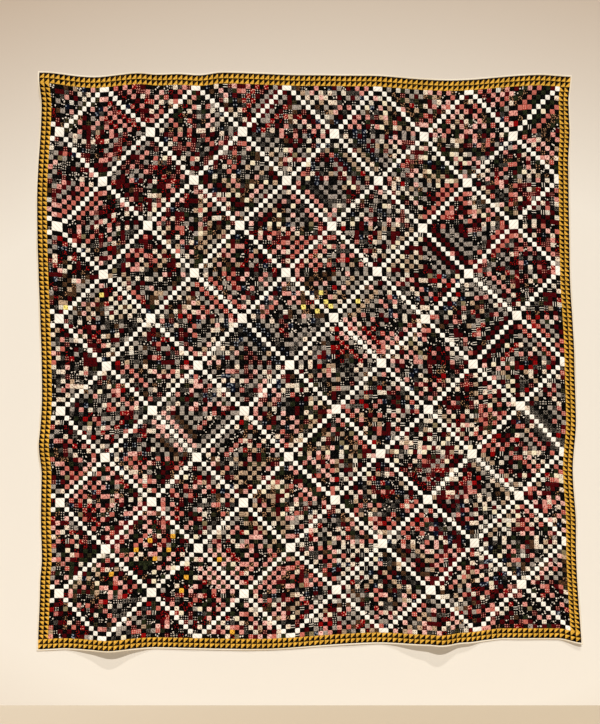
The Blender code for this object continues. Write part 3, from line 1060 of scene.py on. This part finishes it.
def build_bindings(material):
    """Binding along the four edges."""
    edges = (
        ("cream_binding_top", WIDTH, lambda along, inward: (along, inward), True),
        ("cream_binding_bottom", WIDTH, lambda along, inward: (along, HEIGHT - inward), False),
        ("cream_binding_left", HEIGHT, lambda along, inward: (inward, along), False),
        ("cream_binding_right", HEIGHT, lambda along, inward: (WIDTH - inward, along), True),
    )
    pieces = []
    for name, length, to_flat, flipped in edges:
        piece = build_binding(name, length, to_flat, material)
        if flipped:
            piece.data.flip_normals()
        pieces.append(piece)
    return pieces


# Stage, light and camera
def build_stage():
    """Pale wall just behind the quilt, with painted shade that darkens it away from a place low on its
    right half, and a pale floor. The wall is clear from behind, so that the back of the quilt can be looked
    at."""
    wall_material = bpy.data.materials.new("wall_paint_with_painted_shade")
    wall_material.use_nodes = True
    tree = wall_material.node_tree
    shader = tree.nodes["Principled BSDF"]
    shader.inputs["Roughness"].default_value = 0.9
    shader.inputs["Specular IOR Level"].default_value = 0.1
    where = add(tree, "ShaderNodeTexCoord").outputs["Object"]
    # Painted shade: the wall's colour is darker away from a place low on its right half, standing in for the
    # lamps' fall-off
    flatter = add(tree, "ShaderNodeMapping", {"Vector": where, "Scale": (0.6, 1.0, 1.0)}).outputs[0]
    apart = add(tree, "ShaderNodeVectorMath", {0: flatter, 1: (0.09, 0.0, -1.55)}, operation="DISTANCE")
    painted_shade = fade(tree, apart.outputs["Value"], 1.15, 2.15, smooth=False)
    paint = blend(tree, painted_shade, (0.805, 0.765, 0.720, 1.0), (0.500, 0.405, 0.330, 1.0))
    tree.links.new(paint, shader.inputs["Base Color"])
    clear = add(tree, "ShaderNodeBsdfTransparent")
    behind = add(tree, "ShaderNodeNewGeometry").outputs["Backfacing"]
    either = add(tree, "ShaderNodeMixShader", {0: behind, 1: shader.outputs[0], 2: clear.outputs[0]})
    tree.links.new(either.outputs[0], tree.nodes["Material Output"].inputs["Surface"])
    floor_material = bpy.data.materials.new("floor_paint")
    floor_material.use_nodes = True
    floor_shader = floor_material.node_tree.nodes["Principled BSDF"]
    floor_shader.inputs["Base Color"].default_value = (0.50, 0.41, 0.30, 1.0)
    floor_shader.inputs["Roughness"].default_value = 0.7

    floor_z, wall_y, far = -2.616, 0.0004, 6.0
    wall_points = np.array(
        ((-far, wall_y, floor_z), (far, wall_y, floor_z), (far, wall_y, 2.5), (-far, wall_y, 2.5))
    )
    floor_points = np.array(((-far, -8, floor_z), (far, -8, floor_z), (far, 8, floor_z), (-far, 8, floor_z)))
    square = [np.array([[0, 1, 2, 3]])]
    for name, points, material in (
        ("wall", wall_points, wall_material),
        ("floor", floor_points, floor_material),
    ):
        mesh = mesh_of(name, points, square)[0]
        mesh.materials.append(material)
        piece = bpy.data.objects.new(name, mesh)
        bpy.context.scene.collection.objects.link(piece)
        if name == "wall":
            piece.visible_shadow = False
            piece.visible_diffuse = False


def sun(name, heading, strength, spread, colour):
    """Lamp that shines along the heading, its shadow edges softened by the spread in degrees."""
    data = bpy.data.lights.new(name, "SUN")
    data.energy = strength
    data.angle = math.radians(spread)
    data.color = colour
    lamp = bpy.data.objects.new(name, data)
    across, inward, upward = heading
    tilt = math.atan2(math.hypot(across, inward), -upward)
    lamp.rotation_euler = (tilt, 0.0, math.atan2(-across, inward))
    bpy.context.scene.collection.objects.link(lamp)


def light_stage():
    """Two lamps in front, both high, a soft pale surround, and a lamp for the back."""
    sun("lamp_front", (0.0, 0.720, -0.694), 2.37, 0.7, (1.0, 0.97, 0.89))
    sun("lamp_high", (-0.11, 0.46, -0.88), 1.21, 0.9, (1.0, 0.96, 0.87))
    sun("lamp_behind", (0.35, -0.80, -0.48), 1.6, 6.0, (1.0, 0.97, 0.93))
    surround = bpy.data.worlds.new("surround")
    surround.use_nodes = True
    surround.node_tree.nodes["Background"].inputs["Color"].default_value = (1.0, 0.97, 0.93, 1.0)
    surround.node_tree.nodes["Background"].inputs["Strength"].default_value = 0.24
    bpy.context.scene.world = surround


def place_camera():
    """Camera at the photograph's place: 3 m in front, a little left of the middle, looking slightly up."""
    data = bpy.data.cameras.new("camera")
    sensor, focal_pixels, photo_height = 36.0, 723, 724
    data.sensor_width = sensor
    data.lens = sensor * focal_pixels / photo_height
    camera = bpy.data.objects.new("camera", data)
    camera.location = (-0.020, -3.0, -1.302)
    camera.rotation_euler = (math.radians(90 + 1.75), 0.0, 0.0)
    bpy.context.scene.collection.objects.link(camera)
    bpy.context.scene.camera = camera


pieced = pieced_material("pieced_cottons", 0.0)
bordered = pieced_material("border_cottons", 0.0)
natural = plain_material("backing_cotton", (220, 211, 189), (213, 201, 175), True, 0.03)
cream = plain_material("binding_cotton", (236, 226, 211), (220, 205, 180), False, 0.02)

panels = build_centre(pieced)
strips = build_borders(bordered)
bindings = build_bindings(cream)
backing = build_backing(natural)

for piece in panels + [backing]:
    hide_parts("quilt_centre")
for piece, node in zip(strips, ("border_top", "border_bottom", "border_left", "border_right")):
    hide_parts(node)
for piece, node in zip(bindings, ("binding_top", "binding_bottom", "binding_left", "binding_right")):
    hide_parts(node)
for pieces, slot in (
    (panels, "pieced_cotton"),
    (strips, "border_cotton"),
    (bindings, "binding_cotton"),
    ([backing], "backing_cotton"),
):
    for piece in pieces:
        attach(piece, "root")

build_stage()
light_stage()
place_camera()
bpy.context.scene.view_settings.view_transform = "Standard"
